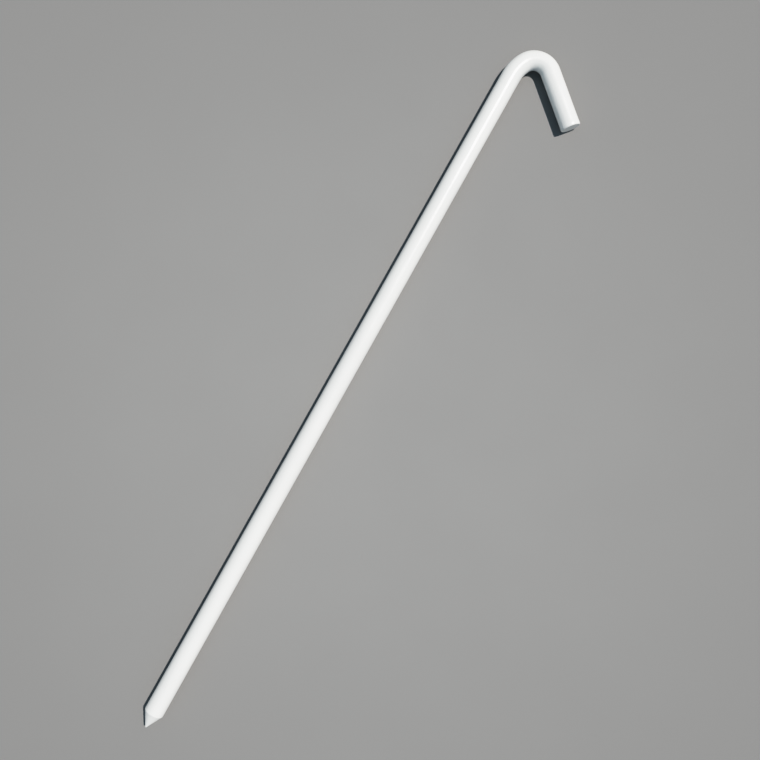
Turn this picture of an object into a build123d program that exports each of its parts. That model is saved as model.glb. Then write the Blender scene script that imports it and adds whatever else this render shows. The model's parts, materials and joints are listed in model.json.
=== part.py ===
"""Hooked tent stake: a bent and pointed steel bar sealed in a thick white coating.

The stake lies flat, as it does when it isn't in the ground. +X runs along the shank from
the point to the hook, the hook's leg is on the -Y side and +Z is up. The origin is at the
middle of the stake's length and width, on the surface that it lies on. Millimetres.
"""

from build123d import *
import os
from math import asin, cos, degrees, radians, sin, sqrt, tan

os.makedirs("parts", exist_ok=True)

# Driving dimensions of the steel bar. Lengths are to the bare steel.
bar_diameter = 12.7  # half-inch round bar
straight_length = 497.6  # from the tip of the point to the start of the hook
lead_in_radius = 27.0  # centreline, where the bar starts to turn gently
lead_in_angle = 28.0
crown_radius = 12.1  # centreline, round the bending pin
crown_angle = 103.0
leg_length = 39.8  # straight end of the hook
crown_thinning = 0.03  # the bend draws the bar this much thinner in its own plane
point_angle = 57.0  # included angle of the ground point
point_tip_radius = 0.25
tip_flat_radius = 0.05  # the very tip is flat, because no ground point is perfectly sharp
shoulder_radius = 0.8  # where the point meets the round bar
cut_edge_radius = 0.5  # broken edge of the sawn end

# The coating follows the steel everywhere, at one thickness.
coat_thickness = 0.3

# Values that follow from the driving dimensions.
coated_radius = bar_diameter / 2 + coat_thickness
coated_tip_radius = point_tip_radius + coat_thickness
half_point_angle = radians(point_angle / 2)
turn_angle = lead_in_angle + crown_angle
lead_in_turn = radians(lead_in_angle)
full_turn = radians(turn_angle)

# The hook's centreline, measured from the start of the hook on the shank's axis.
crown_centre_x = (lead_in_radius - crown_radius) * sin(lead_in_turn)
crown_centre_y = (lead_in_radius - crown_radius) * cos(lead_in_turn) - lead_in_radius
leg_start_x = crown_centre_x + crown_radius * sin(full_turn)
leg_start_y = crown_centre_y + crown_radius * cos(full_turn)
leg_end_x = leg_start_x + leg_length * cos(full_turn)
leg_end_y = leg_start_y - leg_length * sin(full_turn)

# The coated outline's reach on every side, which places the origin at its middle.
crown_reach_x = crown_centre_x + crown_radius + coated_radius * (1 - crown_thinning)
tip_flat_reach = sqrt(coated_tip_radius**2 - tip_flat_radius**2)
point_reach_x = -straight_length + point_tip_radius - tip_flat_reach
rim_radius = cut_edge_radius + coat_thickness
rim_centre_y = leg_end_y + cut_edge_radius * sin(full_turn)
leg_reach_y = rim_centre_y + (coated_radius - rim_radius) * cos(full_turn) - rim_radius
hook_start_x = -(crown_reach_x + point_reach_x) / 2
shank_y = -(coated_radius + leg_reach_y) / 2
overall_length = crown_reach_x - point_reach_x
overall_width = coated_radius - leg_reach_y

axis_height = coated_radius
shank_plane = Plane(origin=(0, shank_y, axis_height))
hook_start = Vector(hook_start_x, shank_y, axis_height)


def pointed_shank(growth):
    """The straight bar with its point, larger by growth on every side."""
    radius = bar_diameter / 2 + growth
    ball_radius = point_tip_radius + growth
    ball_x = hook_start_x - straight_length + point_tip_radius
    flat_turn = degrees(asin(tip_flat_radius / ball_radius))
    touch_turn = 90 - point_angle / 2
    touch_x = ball_x - ball_radius * sin(half_point_angle)
    touch_y = ball_radius * cos(half_point_angle)
    shoulder_x = touch_x + (radius - touch_y) / tan(half_point_angle)
    with BuildPart() as shank:
        with BuildSketch(shank_plane) as half_outline:
            with BuildLine():
                tip = CenterArc((ball_x, 0), ball_radius, 180 - flat_turn, flat_turn - touch_turn)
                cone = Line(tip @ 1, (shoulder_x, radius))
                side = Line(cone @ 1, (hook_start_x, radius))
                Polyline(side @ 1, (hook_start_x, 0), ((tip @ 0).X, 0), tip @ 0)
            make_face()
            shoulder = half_outline.vertices().sort_by_distance(
                shank_plane.from_local_coords(Vector(shoulder_x, radius, 0))
            )
            fillet(shoulder[0], radius=shoulder_radius + growth)
        revolve(axis=Axis((0, shank_y, axis_height), (1, 0, 0)))
    return shank.part


def hook_line():
    """The centreline of the two bends, lead-in first."""
    with BuildLine() as centreline:
        lead_in = JernArc(hook_start, (1, 0, 0), lead_in_radius, -lead_in_angle)
        JernArc(lead_in @ 1, lead_in % 1, crown_radius, -crown_angle)
    return centreline.edges()


def bar_section(bend, where, radius, thinning):
    """The bar's section at a share of a bend's length, flat side in the bend's plane."""
    plane = Plane(origin=bend @ where, x_dir=(0, 0, 1), z_dir=bend % where)
    with BuildSketch(plane) as section:
        Ellipse(radius, radius * (1 - thinning))
    return section.sketch


def hook(growth):
    """Both bends and the leg, larger by growth on every side."""
    radius = bar_diameter / 2 + growth
    lead_in, crown = hook_line()
    leg_direction = crown % 1
    with BuildPart() as bends:
        sweep(
            sections=[
                bar_section(lead_in, 0, radius, 0),
                bar_section(lead_in, 1, radius, crown_thinning / 2),
            ],
            path=lead_in,
            multisection=True,
        )
        sweep(
            sections=[
                bar_section(crown, 0, radius, crown_thinning / 2),
                bar_section(crown, 0.5, radius, crown_thinning),
                bar_section(crown, 1, radius, 0),
            ],
            path=crown,
            multisection=True,
        )
        with BuildSketch(Plane(origin=crown @ 1, x_dir=(0, 0, 1), z_dir=leg_direction)):
            Circle(radius)
        extrude(amount=leg_length + growth)
        cut_edge = bends.faces().sort_by(Axis(crown @ 1, leg_direction))[-1].edges()
        fillet(cut_edge, radius=cut_edge_radius + growth)
    return bends.part


def make_bar(growth):
    """The whole bent and pointed bar, larger by growth on every side."""
    with BuildPart() as bar:
        add(pointed_shank(growth))
        add(hook(growth))
    return bar.part


with BuildPart() as steel_rod:
    add(make_bar(0))

# The coating covers the steel all over, its point and its cut end included.
with BuildPart() as coating:
    add(make_bar(coat_thickness))
    add(steel_rod.part, mode=Mode.SUBTRACT)

steel_rod.part.label = "steel_rod"
coating.part.label = "coating"
export_step(steel_rod.part, "parts/steel_rod.step")
export_step(coating.part, "parts/coating.step")

print("overall length", round(overall_length, 2), "width", round(overall_width, 2))
print("hook starts at x", round(hook_start_x, 2), "shank at y", round(shank_y, 2))
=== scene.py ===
import json
from math import ceil, cos, exp, hypot, pi, radians, sin, tan

import bpy
from mathutils import Matrix, Vector, noise


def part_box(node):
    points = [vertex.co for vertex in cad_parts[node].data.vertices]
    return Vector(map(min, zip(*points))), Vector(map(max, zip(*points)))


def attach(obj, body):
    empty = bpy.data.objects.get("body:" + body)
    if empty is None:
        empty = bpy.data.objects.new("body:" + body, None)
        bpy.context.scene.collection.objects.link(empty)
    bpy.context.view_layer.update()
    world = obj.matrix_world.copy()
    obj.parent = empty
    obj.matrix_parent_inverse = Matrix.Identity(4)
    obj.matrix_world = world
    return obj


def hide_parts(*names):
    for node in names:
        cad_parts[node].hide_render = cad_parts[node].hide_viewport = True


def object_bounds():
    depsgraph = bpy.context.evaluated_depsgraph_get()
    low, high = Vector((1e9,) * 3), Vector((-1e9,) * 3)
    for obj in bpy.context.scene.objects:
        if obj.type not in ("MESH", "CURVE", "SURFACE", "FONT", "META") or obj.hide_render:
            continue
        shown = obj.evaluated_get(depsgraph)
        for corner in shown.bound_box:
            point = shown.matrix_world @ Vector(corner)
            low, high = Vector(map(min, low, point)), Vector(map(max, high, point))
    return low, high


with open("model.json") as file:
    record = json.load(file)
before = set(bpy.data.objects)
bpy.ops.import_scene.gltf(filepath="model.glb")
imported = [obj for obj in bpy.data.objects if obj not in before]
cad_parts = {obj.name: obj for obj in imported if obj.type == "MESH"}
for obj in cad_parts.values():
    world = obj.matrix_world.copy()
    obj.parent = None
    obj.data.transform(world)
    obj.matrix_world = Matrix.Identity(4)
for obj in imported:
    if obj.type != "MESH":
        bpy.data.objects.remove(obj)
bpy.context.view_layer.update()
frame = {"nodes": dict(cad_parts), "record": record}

MM = 0.001

# ---- The stake's line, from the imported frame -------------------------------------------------
shank = next(m for m in frame["record"]["mounts"] if m["name"] == "shank")
COATED_RADIUS = shank["dims"]["r_mm"] * MM
HALF_SHANK = Vector((shank["dims"]["length_mm"] / 2 * MM, 0, 0))
HOOK_START = Vector(shank["pos_m"]) + HALF_SHANK
TIP_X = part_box("coating")[0].x
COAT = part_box("steel_rod")[0].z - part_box("coating")[0].z
STEEL_RADIUS = COATED_RADIUS - COAT

# ---- The shape of the hook and the ends, as in the CAD model. Lengths are to the steel --------
LEAD_IN_RADIUS = 27.0 * MM
LEAD_IN_TURN = radians(28.0)
CROWN_RADIUS = 12.1 * MM
CROWN_TURN = radians(103.0)
CROWN_THINNING = 0.03
LEG_LENGTH = 39.8 * MM
HALF_POINT_ANGLE = radians(28.5)
POINT_TIP_RADIUS = 0.25 * MM
SHOULDER_RADIUS = 0.8 * MM
CUT_EDGE_RADIUS = 0.5 * MM

# ---- How finely the coating is made ----------------------------------------------------------
SEGMENTS = 96  # round the bar
SHANK_STEP = 2.0 * MM
BEND_STEP = radians(1.5)
CONE_RINGS = 12
ARC_RINGS = 8
LEG_RINGS = 36
FACE_RINGS = 10

# ---- Unevenness of a thick coating that flowed while it was hot ------------------------------
WAVE_HEIGHT = 0.04 * MM
WAVE_LENGTH = 16 * MM
SHORT_WAVES = 0.3  # the share of the height that is in shorter waves
SHORTER = 2.6  # how many times shorter those are
RIM_BEAD = 0.10 * MM
RIM_BEAD_BACK = 2.0 * MM  # from the cut end to the top of the bead
RIM_BEAD_REACH = 1.4 * MM  # from the bead's top to either of its feet
FACE_DISH = 0.15 * MM
DISH_REACH = 0.75  # the share of the cut face's area that is dished
ON_THE_FACE = 0.01 * MM
STRAIGHT_PLACE = "straight_place"  # the mesh attribute with places on the straightened bar

# ---- Camera and light ------------------------------------------------------------------------
CAMERA_AT = Vector((7.9, -6.0, 558.6)) * MM
CAMERA_AIM = Vector((15.8, 1.8, 0)) * MM
CAMERA_ROLL = radians(29.28)  # how far the picture's up is turned from +X towards +Y
CAMERA_LENS = 39.10
CAMERA_NEAR = 0.01
SUN_AZIMUTH = radians(-35.2)  # from +X towards +Y
SUN_ELEVATION = radians(64.2)
SUN_SOFTNESS = radians(2)
SUN_STRENGTH = 2.96
SUN_COLOUR = (1.0, 0.939, 0.887)
SKY_LIGHT = (0.175, 0.231, 0.275)
HORIZON_LIGHT = (0.27, 0.27, 0.266)
HORIZON_BAND = 0.35  # the sine of the height where the horizon's light has faded into the sky's
FLOOR_SIZE = 24.0

# The picture's contrast is like film's. Light above WHITE_LIGHT is plain white.
WHITE_LIGHT = 4.0
FILM_SHARE = 0.94  # how much of the brightness saturates. The rest grows evenly with the light
FILM_LIGHT = 0.47  # the light that reaches 63% of that share
FILM_CONTRAST = 1.5  # above 1, it deepens the dark greys
TONE_POINTS = 15  # points on the curve, half a stop apart, down from white
HALF_STOP = 0.5 ** 0.5


# ==== Mesh ====================================================================================
def shares(count):
    """Evenly spaced shares from 0 to 1, both included."""
    return [i / count for i in range(count + 1)]


def point_profile(growth):
    """(x, radius) from the tip of the point to the start of the round shank."""
    radius = STEEL_RADIUS + growth
    ball = POINT_TIP_RADIUS + growth
    ball_x = TIP_X + COAT + POINT_TIP_RADIUS
    ball_turn = pi / 2 - HALF_POINT_ANGLE
    tip = [(ball_x - ball * cos(ball_turn * s), ball * sin(ball_turn * s))
           for s in shares(ARC_RINGS)]
    shoulder = SHOULDER_RADIUS + growth
    touch_x, touch_radius = tip[-1]
    corner_x = touch_x + (radius - touch_radius) / tan(HALF_POINT_ANGLE)
    shank_x = corner_x + shoulder * tan(HALF_POINT_ANGLE / 2)
    arc = [(shank_x - shoulder * sin(HALF_POINT_ANGLE * (1 - s)),
            radius - shoulder * (1 - cos(HALF_POINT_ANGLE * (1 - s))))
           for s in shares(ARC_RINGS)]
    cone = [(touch_x + (arc[0][0] - touch_x) * s,
             touch_radius + (arc[0][1] - touch_radius) * s)
            for s in shares(CONE_RINGS)[1:-1]]
    return tip + cone + arc


def leg_profile(growth):
    """(distance along the leg, radius) from the crown to the middle of the cut end's face. The
    rings are closer together towards the cut end, where the bead is."""
    radius = STEEL_RADIUS + growth
    edge = CUT_EDGE_RADIUS + growth
    face = LEG_LENGTH + growth
    side = [((face - edge) * (1 - (1 - s) ** 2), radius) for s in shares(LEG_RINGS)[:-1]]
    arc = [(face - edge * (1 - sin(pi / 2 * s)), radius - edge * (1 - cos(pi / 2 * s)))
           for s in shares(ARC_RINGS)]
    flat = [(face, (radius - edge) * (1 - s)) for s in shares(FACE_RINGS)[1:]]
    return side + arc + flat


def lead_in_thinning(share):
    """Rises evenly to half of the crown's most."""
    return CROWN_THINNING / 2 * share


def crown_thinning(share):
    """Rises to the most at the middle of the crown and falls back to none at the leg."""
    return CROWN_THINNING * (0.5 + share if share < 0.5 else 2 * (1 - share))


def bend_rings(start, side, along, bend_radius, turn, thinning, growth):
    """The rings of one bend but the last, and the place, side and direction where it ends."""
    middle = start + side * bend_radius
    radius = STEEL_RADIUS + growth
    rings = []
    for share in shares(ceil(turn / BEND_STEP)):
        inward = side * cos(turn * share) - along * sin(turn * share)
        centre = middle - inward * bend_radius
        rings.append((centre, inward, radius * (1 - thinning(share)), radius))
    return rings[:-1], centre, inward, along * cos(turn) + side * sin(turn)


def stake_rings(growth):
    """Rings from the tip of the point to the middle of the cut face: each one's centre, the
    direction of the hook's inside, its radius that way and its radius upwards."""
    side, along = Vector((0, -1, 0)), Vector((1, 0, 0))
    axis_at = Vector((0, HOOK_START.y, HOOK_START.z))
    rings = [(axis_at + along * x, side, r, r) for x, r in point_profile(growth)]
    shank_from = rings[-1][0].x
    radius = STEEL_RADIUS + growth
    for share in shares(ceil((HOOK_START.x - shank_from) / SHANK_STEP))[1:-1]:
        x = shank_from + (HOOK_START.x - shank_from) * share
        rings.append((axis_at + along * x, side, radius, radius))
    lead_in, at, side, along = bend_rings(
        HOOK_START, side, along, LEAD_IN_RADIUS, LEAD_IN_TURN, lead_in_thinning, growth)
    crown, at, side, along = bend_rings(
        at, side, along, CROWN_RADIUS, CROWN_TURN, crown_thinning, growth)
    leg = [(at + along * s, side, r, r) for s, r in leg_profile(growth)]
    return rings + lead_in + crown + leg


def closed_skin(rings):
    """A closed skin over the rings that faces out: its vertices, each one's place on the bar if
    the bar were straight, and its faces."""
    verts, straight = [], []
    distance = 0
    before = rings[0][0]
    for centre, side, across, upwards in rings:
        distance += (centre - before).length
        before = centre
        steps = [0] if across == 0 else range(SEGMENTS)
        for step in steps:
            turn = 2 * pi * step / SEGMENTS
            offset = Vector((0, across * cos(turn), upwards * sin(turn)))
            verts.append(centre + side * offset.y + Vector((0, 0, offset.z)))
            straight.append(Vector((distance, 0, 0)) + offset)
    tip, face_middle = 0, len(verts) - 1
    first, last = 1, face_middle - SEGMENTS
    faces = []
    for step in range(SEGMENTS):
        after = (step + 1) % SEGMENTS
        faces.append((tip, first + step, first + after))
        faces.append((face_middle, last + after, last + step))
        for ring in range(first, last, SEGMENTS):
            faces.append((ring + after, ring + step,
                          ring + SEGMENTS + step, ring + SEGMENTS + after))
    return verts, straight, faces


def flow_relief(place, end):
    """How far the coating stands proud of its even thickness at a place on the straightened
    bar: long shallow waves, a bead behind the cut end's rim and a slight dish in its face."""
    at = place / WAVE_LENGTH
    waves = (1 - SHORT_WAVES) * noise.noise(at) + SHORT_WAVES * noise.noise(at * SHORTER)
    relief = WAVE_HEIGHT * waves
    off_bead = (end - place.x - RIM_BEAD_BACK) / RIM_BEAD_REACH
    relief += RIM_BEAD * max(0, 1 - off_bead ** 2) ** 2
    if end - place.x < ON_THE_FACE:
        off_axis = hypot(place.y, place.z) / COATED_RADIUS
        relief -= FACE_DISH * max(0, DISH_REACH - off_axis ** 2)
    return relief


def add_coating():
    """The coating as a real shell: its outside, and its inside where it meets the steel."""
    outside, straight, faces = closed_skin(stake_rings(COAT))
    inside, inside_straight, inside_faces = closed_skin(stake_rings(0))
    shift = len(outside)
    faces += [tuple(v + shift for v in reversed(face)) for face in inside_faces]
    mesh = bpy.data.meshes.new("coating_skin")
    mesh.from_pydata(outside + inside, [], faces)
    mesh.shade_smooth()
    end = straight[-1].x
    reliefs = [flow_relief(place, end) for place in straight]
    moves = [vertex.normal * relief for vertex, relief in zip(mesh.vertices, reliefs)]
    for vertex, move in zip(mesh.vertices, moves):
        vertex.co += move
    attribute = mesh.attributes.new(STRAIGHT_PLACE, "FLOAT_VECTOR", "POINT")
    values = [value for place in straight + inside_straight for value in place]
    attribute.data.foreach_set("vector", values)
    coating = bpy.data.objects.new("coating_skin", mesh)
    bpy.context.scene.collection.objects.link(coating)
    return coating


# ==== Materials ===============================================================================
CLEAN_WHITE = (0.86, 0.865, 0.845)
THIN_WHITE = (0.835, 0.842, 0.825)
SCUFF_GREY = (0.62, 0.62, 0.61)
DUST_BROWN = (0.40, 0.37, 0.33)
COATING_ROUGHNESS = 0.24
ROUGHNESS_SPREAD = 0.04
ROUGH_PATCH = 7 * MM
THIN_PATCH = 22 * MM
HANDLED_PATCH = 30 * MM
SCUFF_WIDTH = 0.45 * MM
SCUFF_LENGTHS = 28  # how many times longer than wide a scuff is
SCUFF_DARKNESS = 0.45
SCUFF_ROUGHNESS = 0.12
PEEL_SIZE = 1.9 * MM
PEEL_HEIGHT = 0.045 * MM
RUNS_WIDTH = 1.3 * MM
RUNS_LENGTHS = 9
RUNS_HEIGHT = 0.06 * MM
FINE_SIZE = 0.4 * MM
FINE_HEIGHT = 0.003 * MM
DUST_SPACING = 8 * MM
DUST_RADIUS = 0.09 * MM
DUST_DARKNESS = 0.6
DUST_THRESHOLD = 0.6  # a cell of the dust pattern has a nib where its random value is higher
NIB_HEIGHT = 0.03 * MM
OXIDE_GREY = (0.20, 0.20, 0.21)
OXIDE_ROUGHNESS = 0.6
RUBBED_STEEL = (0.50, 0.49, 0.48)
RUBBED_ROUGHNESS = 0.38
MILL_STREAK = 0.6 * MM
MILL_STREAK_LENGTHS = 30
MILL_STREAK_HEIGHT = 0.02 * MM
MILL_BLOTCH = 9 * MM
FLOOR_COLOUR = (0.278, 0.278, 0.276)
# the colour of the painted shade that darkens the floor towards its edges, also used for its
# random clouds
FLOOR_SHADE_AND_CLOUD_COLOUR = (0.234, 0.233, 0.231)
FLOOR_SHADE_REACH = 0.45  # how far from the middle the painted shade reaches its full darkness
FLOOR_ROUGHNESS = 0.9
FLOOR_ROUGHNESS_SPREAD = 0.05
FLOOR_CLOUD = 90 * MM
FLOOR_CLOUD_DARKNESS = 0.2
FLOOR_TOOTH = 0.9 * MM
FLOOR_TOOTH_HEIGHT = 0.01 * MM
MIX_A, MIX_B, MIX_RESULT = 6, 7, 2  # a Mix node's sockets for colours


def new_material(name, colour, roughness, metallic=0):
    material = bpy.data.materials.new(name)
    material.use_nodes = True
    shader = material.node_tree.nodes["Principled BSDF"]
    shader.inputs["Base Color"].default_value = (*colour, 1)
    shader.inputs["Roughness"].default_value = roughness
    shader.inputs["Metallic"].default_value = metallic
    return material, material.node_tree, shader


def add_node(tree, kind, inputs=None, **settings):
    """Adds a node. Each input is a value, or the socket that it is linked to."""
    node = tree.nodes.new("ShaderNode" + kind)
    for name, value in settings.items():
        setattr(node, name, value)
    for name, value in (inputs or {}).items():
        if isinstance(value, bpy.types.NodeSocket):
            tree.links.new(value, node.inputs[name])
        else:
            node.inputs[name].default_value = value
    return node


def noise_pattern(tree, place, size, detail):
    """Noise with features of about this size in metres, mostly between 0.3 and 0.7."""
    inputs = {"Vector": place, "Scale": 1 / size, "Detail": detail}
    return add_node(tree, "TexNoise", inputs).outputs["Fac"]


def along_bar(tree, place, lengths):
    """The place, for a pattern that is drawn out along the bar by this factor."""
    inputs = {"Vector": place, "Scale": (1 / lengths, 1, 1)}
    return add_node(tree, "Mapping", inputs).outputs["Vector"]


def ranged(tree, value, from_low, from_high, low, high, **settings):
    """The value carried over from one range to another, and kept within it."""
    inputs = {"Value": value, "From Min": from_low, "From Max": from_high,
              "To Min": low, "To Max": high}
    return add_node(tree, "MapRange", inputs, **settings).outputs["Result"]


def maths(tree, operation, a, b):
    return add_node(tree, "Math", {0: a, 1: b}, operation=operation).outputs["Value"]


def mix_colours(tree, share, colour_a, colour_b):
    """Colours mixed by share. Each is a colour or a socket."""
    inputs = {"Factor": share, MIX_A: colour_a, MIX_B: colour_b}
    return add_node(tree, "Mix", inputs, data_type="RGBA").outputs[MIX_RESULT]


def add_bump(tree, shader, height):
    """Bumps the surface by a height in metres."""
    bump = add_node(tree, "Bump", {"Height": height, "Distance": 1.0})
    tree.links.new(bump.outputs["Normal"], shader.inputs["Normal"])


def coating_material():
    """Thick glossy white with orange peel, a few nibs of dust under it and faint scuffs along
    the bar from handling."""
    material, tree, shader = new_material("white_coating", CLEAN_WHITE, COATING_ROUGHNESS)
    place = add_node(tree, "Attribute", attribute_name=STRAIGHT_PLACE).outputs["Vector"]

    thin = ranged(tree, noise_pattern(tree, place, THIN_PATCH, 3), 0.35, 0.65, 0, 1)
    streaks = noise_pattern(tree, along_bar(tree, place, SCUFF_LENGTHS), SCUFF_WIDTH, 2)
    handled = ranged(tree, noise_pattern(tree, place, HANDLED_PATCH, 1), 0.52, 0.62, 0, 1)
    scuffs = maths(tree, "MULTIPLY", ranged(tree, streaks, 0.64, 0.72, 0, 1), handled)
    cells = add_node(tree, "TexVoronoi", {"Vector": place, "Scale": 1 / DUST_SPACING})
    near_dust = ranged(tree, cells.outputs["Distance"], 0, 2 * DUST_RADIUS / DUST_SPACING, 1, 0)
    has_dust = maths(tree, "GREATER_THAN", cells.outputs["Color"], DUST_THRESHOLD)
    dust = maths(tree, "MULTIPLY", near_dust, has_dust)

    colour = mix_colours(tree, thin, (*CLEAN_WHITE, 1), (*THIN_WHITE, 1))
    faint_scuffs = maths(tree, "MULTIPLY", scuffs, SCUFF_DARKNESS)
    colour = mix_colours(tree, faint_scuffs, colour, (*SCUFF_GREY, 1))
    faint_dust = maths(tree, "MULTIPLY", dust, DUST_DARKNESS)
    colour = mix_colours(tree, faint_dust, colour, (*DUST_BROWN, 1))
    tree.links.new(colour, shader.inputs["Base Color"])

    patches = noise_pattern(tree, place, ROUGH_PATCH, 2)
    smoothest = COATING_ROUGHNESS - ROUGHNESS_SPREAD
    roughness = ranged(tree, patches, 0.3, 0.7, smoothest, COATING_ROUGHNESS + ROUGHNESS_SPREAD)
    roughness = maths(tree, "ADD", roughness, maths(tree, "MULTIPLY", scuffs, SCUFF_ROUGHNESS))
    tree.links.new(roughness, shader.inputs["Roughness"])

    peel = maths(tree, "MULTIPLY", noise_pattern(tree, place, PEEL_SIZE, 1), PEEL_HEIGHT)
    ridges = noise_pattern(tree, along_bar(tree, place, RUNS_LENGTHS), RUNS_WIDTH, 1)
    runs = maths(tree, "MULTIPLY", ridges, RUNS_HEIGHT)
    fine = maths(tree, "MULTIPLY", noise_pattern(tree, place, FINE_SIZE, 1), FINE_HEIGHT)
    nibs = maths(tree, "MULTIPLY", dust, NIB_HEIGHT)
    height = maths(tree, "ADD", maths(tree, "ADD", peel, runs), maths(tree, "ADD", fine, nibs))
    add_bump(tree, shader, height)
    return material


def steel_material():
    """Hot-rolled bar: grey oxide with lighter rubbed streaks along it."""
    material, tree, shader = new_material("bar_steel", OXIDE_GREY, OXIDE_ROUGHNESS, metallic=1)
    place = add_node(tree, "TexCoord").outputs["Object"]
    streaks = noise_pattern(tree, along_bar(tree, place, MILL_STREAK_LENGTHS), MILL_STREAK, 3)
    blotches = noise_pattern(tree, place, MILL_BLOTCH, 3)
    rubbed = ranged(tree, maths(tree, "MULTIPLY", streaks, blotches), 0.18, 0.34, 0, 1)
    colour = mix_colours(tree, rubbed, (*OXIDE_GREY, 1), (*RUBBED_STEEL, 1))
    tree.links.new(colour, shader.inputs["Base Color"])
    roughness = ranged(tree, rubbed, 0, 1, OXIDE_ROUGHNESS, RUBBED_ROUGHNESS)
    tree.links.new(roughness, shader.inputs["Roughness"])
    add_bump(tree, shader, maths(tree, "MULTIPLY", streaks, MILL_STREAK_HEIGHT))
    return material


def floor_material():
    """A plain matt board with painted shade: a little darker away from the middle, as if the
    light fell off towards the edges.
    """
    material, tree, shader = new_material("floor", FLOOR_COLOUR, FLOOR_ROUGHNESS)
    place = add_node(tree, "TexCoord").outputs["Object"]
    from_middle = add_node(tree, "VectorMath", {0: place}, operation="LENGTH").outputs["Value"]
    # painted shade: the floor darkens away from the middle as if the light fell off there
    share = ranged(tree, from_middle, 0, FLOOR_SHADE_REACH, 0, 1, interpolation_type="SMOOTHSTEP")
    colour = mix_colours(tree, share, (*FLOOR_COLOUR, 1), (*FLOOR_SHADE_AND_CLOUD_COLOUR, 1))
    clouds = noise_pattern(tree, place, FLOOR_CLOUD, 3)
    clouds = ranged(tree, clouds, 0.3, 0.7, 0, FLOOR_CLOUD_DARKNESS)
    colour = mix_colours(tree, clouds, colour, (*FLOOR_SHADE_AND_CLOUD_COLOUR, 1))
    tree.links.new(colour, shader.inputs["Base Color"])
    tooth = noise_pattern(tree, place, FLOOR_TOOTH, 2)
    smoothest = FLOOR_ROUGHNESS - FLOOR_ROUGHNESS_SPREAD
    roughness = ranged(tree, tooth, 0.3, 0.7, smoothest, FLOOR_ROUGHNESS + FLOOR_ROUGHNESS_SPREAD)
    tree.links.new(roughness, shader.inputs["Roughness"])
    add_bump(tree, shader, maths(tree, "MULTIPLY", tooth, FLOOR_TOOTH_HEIGHT))
    return material


# ==== Stage, light and camera =================================================================
def add_floor():
    """The floor touches the lowest point of the coating, which isn't quite even."""
    mesh = bpy.data.meshes.new("floor")
    reach = FLOOR_SIZE / 2
    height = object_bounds()[0].z
    signs = ((-1, -1), (1, -1), (1, 1), (-1, 1))
    corners = [(x * reach, y * reach, height) for x, y in signs]
    mesh.from_pydata(corners, [], [(0, 1, 2, 3)])
    mesh.materials.append(floor_material())
    floor = bpy.data.objects.new("floor", mesh)
    bpy.context.scene.collection.objects.link(floor)


def add_light():
    """A high sun, and a sky that is bluish overhead and pale at the horizon."""
    world = bpy.data.worlds.new("sky")
    bpy.context.scene.world = world
    world.use_nodes = True
    tree = world.node_tree
    direction = add_node(tree, "TexCoord").outputs["Generated"]
    height = add_node(tree, "SeparateXYZ", {"Vector": direction}).outputs["Z"]
    share = ranged(tree, height, 0, HORIZON_BAND, 0, 1)
    colour = mix_colours(tree, share, (*HORIZON_LIGHT, 1), (*SKY_LIGHT, 1))
    tree.links.new(colour, tree.nodes["Background"].inputs["Color"])
    lamp = bpy.data.lights.new("sun", "SUN")
    lamp.energy = SUN_STRENGTH
    lamp.color = SUN_COLOUR
    lamp.angle = SUN_SOFTNESS
    sun = bpy.data.objects.new("sun", lamp)
    towards = Vector((cos(SUN_ELEVATION) * cos(SUN_AZIMUTH),
                      cos(SUN_ELEVATION) * sin(SUN_AZIMUTH), sin(SUN_ELEVATION)))
    sun.rotation_euler = towards.to_track_quat("Z", "Y").to_euler()
    bpy.context.scene.collection.objects.link(sun)


def add_camera():
    """The camera looks almost straight down, turned so that the hook is at the top right."""
    back = (CAMERA_AT - CAMERA_AIM).normalized()
    up = Vector((cos(CAMERA_ROLL), sin(CAMERA_ROLL), 0))
    up = (up - back * up.dot(back)).normalized()
    right = up.cross(back)
    turned = Matrix((right, up, back)).transposed().to_4x4()
    camera = bpy.data.objects.new("camera", bpy.data.cameras.new("camera"))
    camera.data.lens = CAMERA_LENS
    camera.data.clip_start = CAMERA_NEAR
    camera.matrix_world = Matrix.Translation(CAMERA_AT) @ turned
    bpy.context.scene.collection.objects.link(camera)
    bpy.context.scene.camera = camera


def film_brightness(light):
    """The picture's brightness for this light, from 0 for black to 1 for WHITE_LIGHT."""
    saturating = 1 - exp(-(light / FILM_LIGHT) ** FILM_CONTRAST)
    return FILM_SHARE * saturating + (1 - FILM_SHARE) * light / WHITE_LIGHT


def set_tones():
    """Gives the picture the contrast of film_brightness."""
    view = bpy.context.scene.view_settings
    view.view_transform = "Standard"
    view.use_curve_mapping = True
    mapping = view.curve_mapping
    mapping.extend = "HORIZONTAL"
    mapping.white_level = (WHITE_LIGHT, WHITE_LIGHT, WHITE_LIGHT)
    curve = mapping.curves[3]  # the one for all three colours
    for step in range(1, TONE_POINTS + 1):
        share_of_white = HALF_STOP ** step
        curve.points.new(share_of_white, film_brightness(share_of_white * WHITE_LIGHT))
    for point in curve.points:
        point.handle_type = "AUTO_CLAMPED"
    mapping.update()


coating = add_coating()
coating.data.materials.append(coating_material())
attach(coating, "root")
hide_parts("coating")
frame["nodes"]["steel_rod"].material_slots[0].material = steel_material()
add_floor()
add_light()
add_camera()
set_tones()
